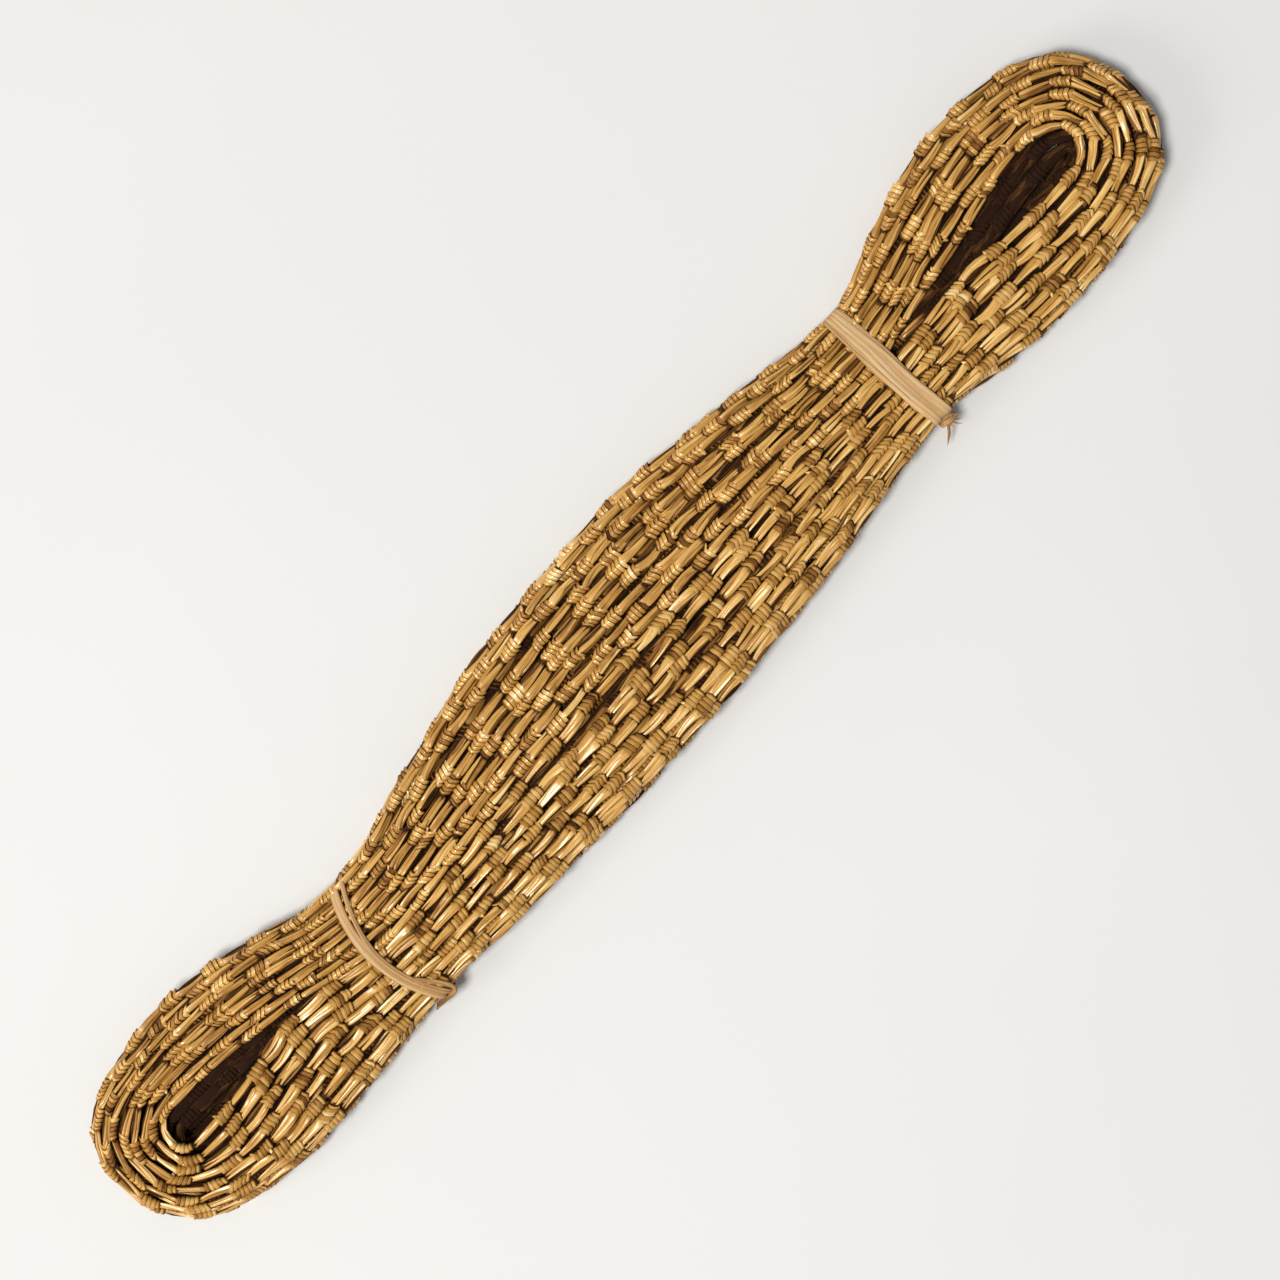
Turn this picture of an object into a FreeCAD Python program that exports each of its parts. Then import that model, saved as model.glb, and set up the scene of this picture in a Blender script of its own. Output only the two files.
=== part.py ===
"""A hank of plaited straw cord, wound in a long flat oval and tied round in two places.

X runs along the hank, Y across it and Z up from the surface that it lies on. The origin is at
the middle of its underside. Three pieces: the wound cord, a wide bast tie and a narrow bast tie.
Run from its own folder, it writes parts/straw_cord_hank.step, wide_tie.step and narrow_tie.step.
"""

import FreeCAD, Part
import math
import os

Vector = FreeCAD.Vector

# Driving dimensions, in millimetres. Upper is towards +Y and lower is towards -Y.
DIMENSIONS = {
    "hankLength": 470.0,
    "hankDepth": 15.2,
    "edgeRounding": 5.5,
    # The two end loops and the free span between the ties bow out to these crests.
    "leftLoopUpper": 35.7,
    "leftLoopLower": -32.0,
    "spanUpper": 34.9,
    "spanLower": -35.4,
    "rightLoopUpper": 35.1,
    "rightLoopLower": -35.6,
    "leftTipShift": 2.0,
    "rightTipShift": -2.0,
    # Where the crests lie along the hank, and where each tie pinches it in.
    "leftCrestAt": -186.0,
    "spanCrestAt": 4.0,
    "rightCrestAt": 181.0,
    "narrowTieAt": -121.0,
    "wideTieAt": 116.5,
    "narrowPinchUpper": 19.0,
    "narrowPinchLower": -30.2,
    "widePinchUpper": 20.1,
    "widePinchLower": -27.8,
    "pinchRounding": 8.0,
    # The eye-shaped openings left inside the end loops.
    "eyeDepth": 7.6,
    "eyeHalfWidth": 5.6,
    "leftEyeTip": -210.5,
    "leftEyePoint": -158.0,
    "leftEyeCentre": 3.6,
    "rightEyeTip": 206.5,
    "rightEyePoint": 150.0,
    "rightEyeCentre": -0.6,
    # The bast strips.
    "stripThickness": 0.6,
    "stripClearance": 0.2,
    "stripUnderside": 0.3,
    "stripTop": 14.0,
    "stripCorner": 5.0,
    "wideStrip": 8.0,
    "narrowStrip": 4.4,
    "narrowBow": 7.5,
    "grooveMargin": 0.8,
    # The wide tie's knot and thin tail, and the narrow tie's folded end.
    "knotAlong": 3.4,
    "knotAcross": 2.4,
    "knotHigh": 3.0,
    "tailLength": 7.0,
    "tailWidth": 1.0,
    "foldLength": 11.0,
    "foldThickness": 1.4,
    "foldHeight": 7.0,
}

doc = FreeCAD.newDocument("straw_cord_hank")
sheet = doc.addObject("Spreadsheet::Sheet", "dims")
for row, (alias, value) in enumerate(DIMENSIONS.items(), start=1):
    sheet.set(f"A{row}", alias)
    sheet.set(f"B{row}", str(value))
    sheet.setAlias(f"B{row}", alias)
doc.recompute()


def dim(alias):
    return float(sheet.get(alias))


def bind(thing, **expressions):
    """Binds each named property of a document object to an expression on the sheet."""
    for name, expression in expressions.items():
        thing.setExpression(name.replace("_", "."), expression)
    return thing


# ---------------------------------------------------------------- the hank's plan outline

CAP_FULLNESS = 0.64  # the end loops are a little blunter than an ellipse, which has 0.55
STRETCH_ENDS = ("leftCrestAt", "narrowTieAt", "spanCrestAt", "wideTieAt", "rightCrestAt")
STRETCH_STEPS = (4, 7, 7, 4)  # points on each stretch between crest and pinch


def bow(x, tie_at, tie_y, crest_at, crest_y):
    """Half a parabola from the pinch at a tie out to the crest of the free stretch beside it."""
    rounding = dim("pinchRounding")
    away = math.hypot(x - tie_at, rounding) - rounding
    short_of_crest = max(0.0, 1.0 - away / abs(crest_at - tie_at))
    return crest_y - (crest_y - tie_y) * short_of_crest**2


def side(x, which):
    """The outline's Y at x along one long side of the hank, Upper or Lower."""
    narrow, wide = dim("narrowTieAt"), dim("wideTieAt")
    narrow_pinch, wide_pinch = dim("narrowPinch" + which), dim("widePinch" + which)
    if x < narrow:
        return bow(x, narrow, narrow_pinch, dim("leftCrestAt"), dim("leftLoop" + which))
    if x > wide:
        return bow(x, wide, wide_pinch, dim("rightCrestAt"), dim("rightLoop" + which))
    if x < dim("spanCrestAt"):
        return bow(x, narrow, narrow_pinch, dim("spanCrestAt"), dim("span" + which))
    return bow(x, wide, wide_pinch, dim("spanCrestAt"), dim("span" + which))


def run(which):
    """One long side, from the left loop's crest to the right loop's crest, level at both."""
    marks = [dim(name) for name in STRETCH_ENDS]
    points = [Vector(marks[0], side(marks[0], which), 0)]
    for start, end, steps in zip(marks, marks[1:], STRETCH_STEPS):
        for step in range(1, steps + 1):
            x = start + (end - start) * step / steps
            points.append(Vector(x, side(x, which), 0))
    curve = Part.BSplineCurve()
    level = Vector(1, 0, 0)
    curve.interpolate(
        Points=points,
        Parameters=[point.x for point in points],
        InitialTangent=level,
        FinalTangent=level,
        Scale=False,
    )
    return curve.toShape()


def cap(crest_at, tip_at, tip_y, which):
    """A blunt quarter of a loop's end, from the loop's crest round to its tip."""
    crest_y = side(crest_at, which)
    curve = Part.BezierCurve()
    curve.setPoles(
        [
            Vector(crest_at, crest_y, 0),
            Vector(crest_at + (tip_at - crest_at) * CAP_FULLNESS, crest_y, 0),
            Vector(tip_at, tip_y + (crest_y - tip_y) * CAP_FULLNESS, 0),
            Vector(tip_at, tip_y, 0),
        ]
    )
    return curve.toShape()


half_length = dim("hankLength") / 2
left_end = (dim("leftCrestAt"), -half_length, dim("leftTipShift"))
right_end = (dim("rightCrestAt"), half_length, dim("rightTipShift"))
outline_edges = [
    make(*place, which)
    for which in ("Upper", "Lower")
    for make, place in ((run, ()), (cap, left_end), (cap, right_end))
]
outline = doc.addObject("Part::Feature", "hank_outline")
outline.Shape = Part.Face(Part.Wire(Part.__sortEdges__(outline_edges)))


def raise_up(name, base, height):
    """An upright prism on a flat face, as high as the sheet's expression says."""
    prism = doc.addObject("Part::Extrusion", name)
    prism.Base = base
    prism.DirMode = "Custom"
    prism.Dir = Vector(0, 0, 1)
    prism.Solid = True
    return bind(prism, LengthFwd=height)


def round_edges(name, base, radius, chosen):
    """Rounds every edge of base that chosen(edge) picks."""
    doc.recompute()
    rounded = doc.addObject("Part::Fillet", name)
    rounded.Base = base
    rounded.Edges = [
        (number, radius, radius)
        for number, edge in enumerate(base.Shape.Edges, start=1)
        if chosen(edge)
    ]
    return rounded


def is_level(edge):
    return edge.BoundBox.ZLength < 0.01


def runs_along_x(edge):
    return edge.BoundBox.XLength > 0.01 and edge.BoundBox.YLength + edge.BoundBox.ZLength < 0.01


slab = raise_up("hank_slab", outline, "dims.hankDepth")
soft_slab = round_edges("hank_rounded", slab, dim("edgeRounding"), is_level)

# ---------------------------------------------------------------- the eyes in the end loops


def eye_face(name, tip, point, centre, half_width):
    """A teardrop lying along the hank: round at its tip, and pointed towards the near tie."""
    inward = math.copysign(1.0, point - tip)
    round_at = tip + inward * half_width
    top = Vector(round_at, centre + half_width, 0)
    bottom = Vector(round_at, centre - half_width, 0)
    sharp = Vector(point, centre, 0)
    edges = [Part.Arc(bottom, Vector(tip, centre, 0), top).toShape()]
    for start in (top, bottom):
        flank = Part.BezierCurve()
        along = Vector(round_at + inward * abs(point - round_at) * 0.45, start.y, 0)
        flank.setPoles([start, along, sharp])
        edges.append(flank.toShape())
    face = doc.addObject("Part::Feature", name)
    face.Shape = Part.Face(Part.Wire(Part.__sortEdges__(edges)))
    return face


eyes = []
for end in ("left", "right"):
    face = eye_face(
        end + "_eye_outline",
        dim(end + "EyeTip"),
        dim(end + "EyePoint"),
        dim(end + "EyeCentre"),
        dim("eyeHalfWidth"),
    )
    eye = raise_up(end + "_eye", face, "dims.eyeDepth + 1")
    bind(eye, Placement_Base_z="dims.hankDepth - dims.eyeDepth")
    eyes.append(eye)

# ---------------------------------------------------------------- the ties' rings


def block(name, along, low_y, high_y, low_z, high_z, at_x, corner):
    """A box centred on at_x along the hank, with its four long edges rounded."""
    box = doc.addObject("Part::Box", name + "_box")
    bind(
        box,
        Length=along,
        Width=f"({high_y}) - ({low_y})",
        Height=f"({high_z}) - ({low_z})",
        Placement_Base_x=f"{at_x} - ({along}) / 2",
        Placement_Base_y=low_y,
        Placement_Base_z=low_z,
    )
    return round_edges(name, box, corner, runs_along_x)


def tie_sides(tie, inset):
    """The sheet's expressions for a tie's four sides, moved in from its outer face by inset."""
    return (
        f"dims.{tie}PinchLower + dims.grooveMargin + ({inset})",
        f"dims.{tie}PinchUpper - dims.grooveMargin - ({inset})",
        f"dims.stripUnderside + ({inset})",
        f"dims.stripTop - ({inset})",
    )


def ring(tie, along, at_x):
    """A closed strip round the hank, and the groove that it has pulled into the cord."""
    corner, thick, gap = dim("stripCorner"), dim("stripThickness"), dim("stripClearance")
    outer = block(tie + "_ring_outer", along, *tie_sides(tie, "0"), at_x, corner)
    inner = block(
        tie + "_ring_inner",
        f"{along} + 2",
        *tie_sides(tie, "dims.stripThickness"),
        at_x,
        corner - thick,
    )
    strip = doc.addObject("Part::Cut", tie + "_ring")
    strip.Base, strip.Tool = outer, inner
    core = block(
        tie + "_groove_core",
        f"{along} + 2",
        *tie_sides(tie, "dims.stripThickness + dims.stripClearance"),
        at_x,
        corner - thick - gap,
    )
    around = doc.addObject("Part::Box", tie + "_groove_around")
    bind(
        around,
        Length=f"{along} + 2 * dims.grooveMargin",
        Width="dims.hankLength / 5",
        Height="dims.hankDepth + 2",
        Placement_Base_x=f"{at_x} - ({along}) / 2 - dims.grooveMargin",
        Placement_Base_y="-dims.hankLength / 10",
        Placement_Base_z="-1",
    )
    groove = doc.addObject("Part::Cut", tie + "_groove")
    groove.Base, groove.Tool = around, core
    return strip, groove


def join(name, *pieces):
    whole = doc.addObject("Part::MultiFuse", name)
    whole.Shapes = list(pieces)
    return whole


wide_ring, wide_groove = ring("wide", "dims.wideStrip", "dims.wideTieAt")
narrow_ring, narrow_groove = ring(
    "narrow", "(dims.narrowStrip + dims.narrowBow)", "dims.narrowTieAt"
)

# ---------------------------------------------------------------- straw_cord_hank

hollows = join("hank_hollows", *eyes, wide_groove, narrow_groove)
hank = doc.addObject("Part::Cut", "straw_cord_hank")
hank.Base, hank.Tool = soft_slab, hollows

# ---------------------------------------------------------------- wide_tie

SIDE_LOWER = "dims.widePinchLower + dims.grooveMargin"
KNOT_Z = "dims.stripTop * 0.42"
knot = doc.addObject("Part::Ellipsoid", "wide_knot")
bind(
    knot,
    Radius1="dims.knotHigh",
    Radius2="dims.knotAlong",
    Radius3="dims.knotAcross",
    Placement_Base_x="dims.wideTieAt + 1",
    Placement_Base_y=f"{SIDE_LOWER} - dims.knotAcross * 0.8",
    Placement_Base_z=KNOT_Z,
)
tail = doc.addObject("Part::Cylinder", "wide_tail")
bind(
    tail,
    Radius="dims.tailWidth / 2",
    Height="dims.tailLength",
    Placement_Base_x="dims.wideTieAt",
    Placement_Base_y=f"{SIDE_LOWER} - dims.knotAcross",
    Placement_Base_z=KNOT_Z,
)
TAIL_LEAN = FreeCAD.Rotation(Vector(0, 0, 1), Vector(-0.55, -0.72, -0.42))
tail.Placement = FreeCAD.Placement(tail.Placement.Base, TAIL_LEAN)
wide_tie = join("wide_tie", wide_ring, knot, tail)

# ---------------------------------------------------------------- narrow_tie


def bowed_band():
    """The narrow strip seen from above: an arc that bows away from the middle of the hank."""
    half, bow_by = dim("narrowStrip") / 2, dim("narrowBow")
    at_x, middle = dim("narrowTieAt"), (dim("narrowPinchUpper") + dim("narrowPinchLower")) / 2
    reach = (dim("narrowPinchUpper") - dim("narrowPinchLower")) / 2 + 2
    edges = []
    corners = []
    for shift in (-half, half):
        low = Vector(at_x + bow_by / 2 - half / 2 + shift, middle - reach, 0)
        high = Vector(at_x + bow_by / 2 - half / 2 + shift, middle + reach, 0)
        crown = Vector(at_x - bow_by / 2 + half / 2 + shift, middle, 0)
        edges.append(Part.Arc(low, crown, high).toShape())
        corners.append((low, high))
    for near, far in zip(*corners):
        edges.append(Part.LineSegment(near, far).toShape())
    return Part.Face(Part.Wire(Part.__sortEdges__(edges)))


band = doc.addObject("Part::Feature", "narrow_band_outline")
band.Shape = bowed_band()
band_prism = raise_up("narrow_band", band, "dims.hankDepth")
bowed_ring = doc.addObject("Part::Common", "narrow_bowed_ring")
bowed_ring.Base, bowed_ring.Tool = narrow_ring, band_prism
fold = doc.addObject("Part::Box", "narrow_fold")
bind(
    fold,
    Length="dims.foldLength",
    Width="dims.foldThickness",
    Height="dims.foldHeight",
    Placement_Base_x="dims.narrowTieAt - dims.foldLength * 0.45",
    Placement_Base_y="dims.narrowPinchLower + dims.grooveMargin - dims.foldThickness + 0.3",
    Placement_Base_z="dims.stripTop * 0.25",
)
narrow_tie = join("narrow_tie", bowed_ring, fold)

# ---------------------------------------------------------------- checks and export

doc.recompute()
for thing in doc.Objects:
    bad = {"Invalid", "Error"} & set(thing.State)
    if bad:
        raise RuntimeError(f"{thing.Name} is {bad}")
    if hasattr(thing, "Shape") and (thing.Shape.isNull() or not thing.Shape.isValid()):
        raise RuntimeError(f"{thing.Name} has no valid shape")

os.makedirs("parts", exist_ok=True)
sub_parts = (hank, wide_tie, narrow_tie)
for node in sub_parts:
    node.Label = node.Name
    solids = len(node.Shape.Solids)
    if solids != 1:
        raise RuntimeError(f"{node.Label} is {solids} solids and should be one")
    node.Shape.exportStep(f"parts/{node.Label}.step")
    box = node.Shape.BoundBox
    print(
        f"{node.Label}: {node.Shape.Volume / 1000:.1f} cm3,"
        f" X {box.XMin:.1f} to {box.XMax:.1f}, Y {box.YMin:.1f} to {box.YMax:.1f},"
        f" Z {box.ZMin:.1f} to {box.ZMax:.1f}"
    )
for first, one in enumerate(sub_parts):
    for other in sub_parts[first + 1 :]:
        shared = one.Shape.common(other.Shape).Volume
        print(f"{one.Label} and {other.Label} share {shared:.2f} mm3")
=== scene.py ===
"""A hank of plaited straw cord, tied twice with bast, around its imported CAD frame.

Lengths in this script are in millimetres until they go into a mesh, which is in metres.
X runs along the hank, Y across it and Z up. Upper is towards +Y and lower towards -Y.
"""

import math

import bpy
import numpy as np
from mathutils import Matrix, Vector


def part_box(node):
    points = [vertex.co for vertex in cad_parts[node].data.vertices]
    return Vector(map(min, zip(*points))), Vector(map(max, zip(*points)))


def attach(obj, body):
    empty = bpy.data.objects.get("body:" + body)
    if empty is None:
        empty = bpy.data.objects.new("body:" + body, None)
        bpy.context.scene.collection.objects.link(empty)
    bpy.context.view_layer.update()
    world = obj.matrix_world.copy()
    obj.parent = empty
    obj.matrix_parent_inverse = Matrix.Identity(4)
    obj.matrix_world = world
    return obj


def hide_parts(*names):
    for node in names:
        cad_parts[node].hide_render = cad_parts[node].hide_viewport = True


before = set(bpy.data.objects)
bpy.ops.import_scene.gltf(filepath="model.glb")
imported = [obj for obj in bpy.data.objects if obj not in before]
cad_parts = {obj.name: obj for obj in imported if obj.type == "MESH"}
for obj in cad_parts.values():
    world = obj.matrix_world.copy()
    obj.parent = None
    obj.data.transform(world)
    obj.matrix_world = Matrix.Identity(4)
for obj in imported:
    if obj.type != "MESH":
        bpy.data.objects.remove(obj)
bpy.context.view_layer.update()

MM = 0.001
BODY = "root"
rng = np.random.default_rng(11)


def box_mm(node):
    return np.array(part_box(node)) / MM


HANK_LOW, HANK_HIGH = box_mm("straw_cord_hank")

# ---------------------------------------------------------------- camera, floor and light

SHOWN_WIDTH = 400.3  # the width of the picture at the hank's middle height
LENS, SENSOR = 85.0, 36.0
HANK_TURN = math.radians(48.6)  # how far the hank is turned in the picture
HANK_OFF_CENTRE = (-3.1, 0.0)  # right and up in the picture


def add_camera():
    data = bpy.data.cameras.new("camera")
    data.lens = LENS
    data.sensor_width = SENSOR
    camera = bpy.data.objects.new("camera", data)
    bpy.context.scene.collection.objects.link(camera)
    right = np.array([math.cos(HANK_TURN), -math.sin(HANK_TURN)])
    up = np.array([math.sin(HANK_TURN), math.cos(HANK_TURN)])
    at = -(right * HANK_OFF_CENTRE[0] + up * HANK_OFF_CENTRE[1])
    height = HANK_HIGH[2] / 2 + SHOWN_WIDTH * LENS / SENSOR
    camera.location = (at[0] * MM, at[1] * MM, height * MM)
    camera.rotation_euler = (0, 0, -HANK_TURN)
    bpy.context.scene.camera = camera


add_camera()

# ---------------------------------------------------------------- the cord's route

CORD = 3.8  # the cord's nominal thickness, which its knots bulge a little past
RADIUS = CORD / 2
LAYERS = 4
TOP = LAYERS - 1
ROWS = (17, 17, 17, 15)  # half-turns in each course from the lowest, one more on its wide side
COURSE_RISE, TIE_COURSE_RISE = 3.72, 2.95  # from course to course, and under a tie
COURSE_START, TIE_COURSE_START = 0.05, 0.75  # how far the lowest course is raised
EDGE_DROOP = 0.9  # how far the top course's outermost row sinks

# The CAD hank's outline, but with end loops a little different in shape.
HALF_LENGTH = (HANK_HIGH[0] - HANK_LOW[0]) / 2
LEFT_CREST, SPAN_CREST, RIGHT_CREST = -186.0, 4.0, 181.0
INNER_CREST = {"left": -203.0, "right": 199.5}
OUTER_CREST = {"left": LEFT_CREST, "right": RIGHT_CREST}
NARROW_AT, WIDE_AT = -121.0, 116.5
CRESTS = {"Upper": (35.7, 34.9, 35.1), "Lower": (-32.0, -35.4, -35.6)}
PINCHES = {"Upper": (19.0, 20.1), "Lower": (-30.2, -27.8)}
PINCH_ROUNDING = 8.0
TIPS = {"left": (-HALF_LENGTH, 3.0), "right": (HALF_LENGTH, -2.0)}
BLUNTNESS = {"left": {"Upper": 3.0, "Lower": 2.25}, "right": {"Upper": 2.5, "Lower": 2.5}}
EYE_BLUNTNESS = 2.3
EYES = {  # tip, widest place, point
    "left": (-210.5, -202.0, -157.0),
    "right": (206.5, 198.5, 149.0),
}
EYE_HALF_WIDTH = 6.2
EYE_EASE = 8  # the rows have moved aside for an eye this far beyond its point
EYE_SHORTENING = 4.0  # how much sooner a fully closed eye would end
OUTWARD = {"Upper": 1.0, "Lower": -1.0}

# How far each course, from the lowest, sits inside the outline: the courses lean over.
COURSE_INSET = {"Upper": (1.4, 0.5, -0.2, 2.3), "Lower": (0.5, 0.0, 0.2, 3.0)}
# How open each course's eyes are, and where their middles lie, so that they don't line up.
COURSE_EYE = (0.85, 0.75, 0.85, 1.0)
EYE_CENTRE = {"left": (7.0, 8.8, -2.2, 3.8), "right": (4.2, 5.6, -5.8, -0.4)}

# How far from the middle of a tie its squeeze reaches: on the rows' places across the hank, on the
# courses' heights, on the cord's own height, and on how much the rows stray.
ROW_REACH, COURSE_REACH, PRESS_REACH, STRAY_REACH = 14.0, 11.0, 9.0, 16.0
TIE_INSET, TIE_EVENING = 0.9, 0.85  # the rows' inset under a tie, and how far it evens them

# Places where neighbouring rows part and leave a long dark gap: X, Y, reach and size.
PARTINGS = (
    (-22.0, -7.2, 40.0, 1.5),
    (-84.0, 17.5, 24.0, 1.1),
    (-38.0, 22.0, 26.0, 0.9),
    (-20.0, -20.0, 30.0, 1.0),
    (48.0, 12.5, 30.0, 0.8),
    (74.0, -14.0, 22.0, 0.9),
)
PARTING_FADE = 9.0  # how far across the hank a parting is felt
LOWER_PARTING = -0.3  # the lower courses move the other way, so that they close the gap below


def bow(x, tie_at, tie_y, crest_at, crest_y):
    """Half a parabola from the pinch at a tie out to the crest of the free stretch beside it."""
    away = np.hypot(x - tie_at, PINCH_ROUNDING) - PINCH_ROUNDING
    short_of_crest = np.clip(1 - away / abs(crest_at - tie_at), 0, None)
    return crest_y - (crest_y - tie_y) * short_of_crest**2


def side(x, which):
    """The hank's outline at x along its Upper or Lower side."""
    left, span, right = CRESTS[which]
    narrow, wide = PINCHES[which]
    return np.where(
        x < NARROW_AT,
        bow(x, NARROW_AT, narrow, LEFT_CREST, left),
        np.where(
            x > WIDE_AT,
            bow(x, WIDE_AT, wide, RIGHT_CREST, right),
            np.where(
                x < SPAN_CREST,
                bow(x, NARROW_AT, narrow, SPAN_CREST, span),
                bow(x, WIDE_AT, wide, SPAN_CREST, span),
            ),
        ),
    )


def smooth(t):
    t = np.clip(t, 0, 1)
    return t * t * (3 - 2 * t)


def near_ties(x, reach):
    """1 under a tie, falling to 0 a few reaches away."""
    return np.exp(-(((x - NARROW_AT) / reach) ** 2)) + np.exp(-(((x - WIDE_AT) / reach) ** 2))


def crest_at(end, out):
    """Where a row's straight run meets the end loop."""
    return INNER_CREST[end] + out * (OUTER_CREST[end] - INNER_CREST[end])


def outer_row(x, which, course):
    """The centreline of a course's outermost row."""
    squeeze = np.clip(near_ties(x, ROW_REACH), 0, 1)
    inset = COURSE_INSET[which][course] * (1 - TIE_EVENING * squeeze) + TIE_INSET * squeeze
    return side(x, which) - OUTWARD[which] * (RADIUS + inset)


def eye_opening(x, course):
    """Half the eyes' width at x, and how far x is from the plain span towards an eye."""
    half, towards = np.zeros_like(x), np.zeros_like(x)
    for name, sign in (("left", -1), ("right", 1)):
        widest, point = EYES[name][1:]
        opened = np.sin(np.clip((x - point) / (widest - point), 0, 1) * math.pi / 2)
        half = half + EYE_HALF_WIDTH * opened
        tie = NARROW_AT if sign < 0 else WIDE_AT
        eased = smooth((x - tie) / (point + EYE_EASE * sign - tie))
        towards = towards + eased * (sign * (x - tie) > 0)
    return half * COURSE_EYE[course], towards


def inner_rows(x, course):
    """The centrelines of a course's two innermost rows, upper and lower."""
    upper, lower = outer_row(x, "Upper", course), outer_row(x, "Lower", course)
    pitch = (upper - lower) / (ROWS[course] - 1)
    upper_gaps = ROWS[course] // 2 if course % 2 else ROWS[course] // 2 - 1
    middle = upper - (upper_gaps + 0.5) * pitch
    half, towards = eye_opening(x, course)
    eye_centre = np.where(x < 0, EYE_CENTRE["left"][course], EYE_CENTRE["right"][course])
    middle = middle + (eye_centre - middle) * towards
    gap = np.maximum(pitch / 2, half + 0.85 * RADIUS * np.clip(half, 0, 1))
    return middle + gap, middle - gap


def row_y(x, which, out, course):
    """A row's Y at x. out is 0 on the innermost row and 1 on the outermost."""
    inner = inner_rows(x, course)[0 if which == "Upper" else 1]
    return inner + out * (outer_row(x, which, course) - inner)


def course_height(x, course, out):
    """The height of a course's centreline: the ties squash the courses together."""
    squash = np.clip(near_ties(x, COURSE_REACH), 0, 1)
    free = RADIUS + COURSE_START + course * COURSE_RISE
    tied = RADIUS + TIE_COURSE_START + course * TIE_COURSE_RISE
    height = free + (tied - free) * squash
    droop = EDGE_DROOP * np.clip((out - 0.8) / 0.2, 0, 1) ** 2 if course == TOP else 0.0
    return height - droop * (1 - squash)


def loop_end(turn, end, out, course):
    """A point on an end loop. turn runs from 1 at the upper crest to -1 at the lower crest."""
    tip_x, tip_y = TIPS[end]
    sign = math.copysign(1, tip_x)
    crest = crest_at(end, out)
    which = "Upper" if turn > 0 else "Lower"
    inset = (COURSE_INSET["Upper"][course] + COURSE_INSET["Lower"][course]) / 4
    eye_tip = abs(EYES[end][0]) + RADIUS - (1 - COURSE_EYE[course]) * EYE_SHORTENING
    outer_tip = abs(tip_x) - 0.8 * RADIUS - inset
    reach = eye_tip + out * (outer_tip - eye_tip) - abs(crest)
    eye_y = EYE_CENTRE[end][course]
    middle = eye_y + out * (tip_y - eye_y)
    across = abs(float(row_y(np.array(crest), which, out, course)) - middle)
    power = 2 / (EYE_BLUNTNESS + out * (BLUNTNESS[end][which] - EYE_BLUNTNESS))
    angle = turn * math.pi / 2
    x = crest + sign * reach * math.cos(angle) ** power
    y = middle + math.copysign(across * abs(math.sin(angle)) ** power, turn)
    return x, y, (outer_tip - eye_tip) / (ROWS[course] / 2 - 0.5)


RUN_POINTS, CAP_POINTS = 20, 8  # control points on a straight run, and steps round an end loop
WANDER = 0.5  # how far a row strays sideways, which opens lens-shaped gaps between rows
WANDER_LENGTH = (60, 110)  # the shortest and longest wave that a row strays in
HEIGHT_JITTER, LOOP_JITTER = 0.12, 0.25
END_PAST_TIE = 1  # the cord's two ends stop under the wide tie, this far beyond its middle


def parted(x, y):
    """How far the rows at x and y are pushed aside by the gaps near them."""
    shift = np.zeros_like(x)
    for gap_x, gap_y, reach, size in PARTINGS:
        beside = y - gap_y
        fade = np.exp(-(((x - gap_x) / reach) ** 2) - np.abs(beside) / PARTING_FADE)
        shift = shift + size * np.sign(beside) * fade
    return shift


def hank_route():
    """The cord's points, each with the width left for it, its course, and how far out it lies."""
    points = []
    for course in range(LAYERS):
        for row in range(ROWS[course]):
            first_side = ("Lower", "Upper")[course % 2]
            other_side = ("Upper", "Lower")[course % 2]
            which = first_side if row % 2 == 0 else other_side
            outness = row_outness(course, row)
            x = np.linspace(crest_at("left", outness), crest_at("right", outness), RUN_POINTS)
            if which == "Lower":
                x = x[::-1]
            if (course, row) in ((0, 0), (TOP, ROWS[TOP] - 1)):
                x = x[x <= WIDE_AT + END_PAST_TIE]
            y = row_y(x, which, outness, course)
            width = np.abs(outer_row(x, which, course) - inner_rows(x, course)[which == "Lower"])
            pitch = width / (ROWS[course] // 2 - row % 2)
            free = 1 - np.clip(near_ties(x, STRAY_REACH), 0, 1)
            phase, wave = rng.uniform(0, 2 * math.pi), rng.uniform(*WANDER_LENGTH)
            stray = WANDER * np.sin(2 * math.pi * x / wave + phase) * free
            stray = stray * (0.5 if outness == 0 else 1)
            stray = stray + parted(x, y) * free * (1.0 if course == TOP else LOWER_PARTING)
            jitter = rng.normal(0, HEIGHT_JITTER, len(x)) * free
            height = course_height(x, course, outness) + jitter
            for values in zip(x, y + stray, height, pitch):
                points.append((*values, course, outness))
            points += cap_points(course, row, which)
    return np.array(points)


def row_outness(course, row):
    """From 0 for a course's innermost row to 1 for its outermost."""
    rows = ROWS[course]
    step = row if course % 2 == 0 else rows - 1 - row
    return step / (rows - 1) if row % 2 == 0 else (step - 1) / (rows - 3)


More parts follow.
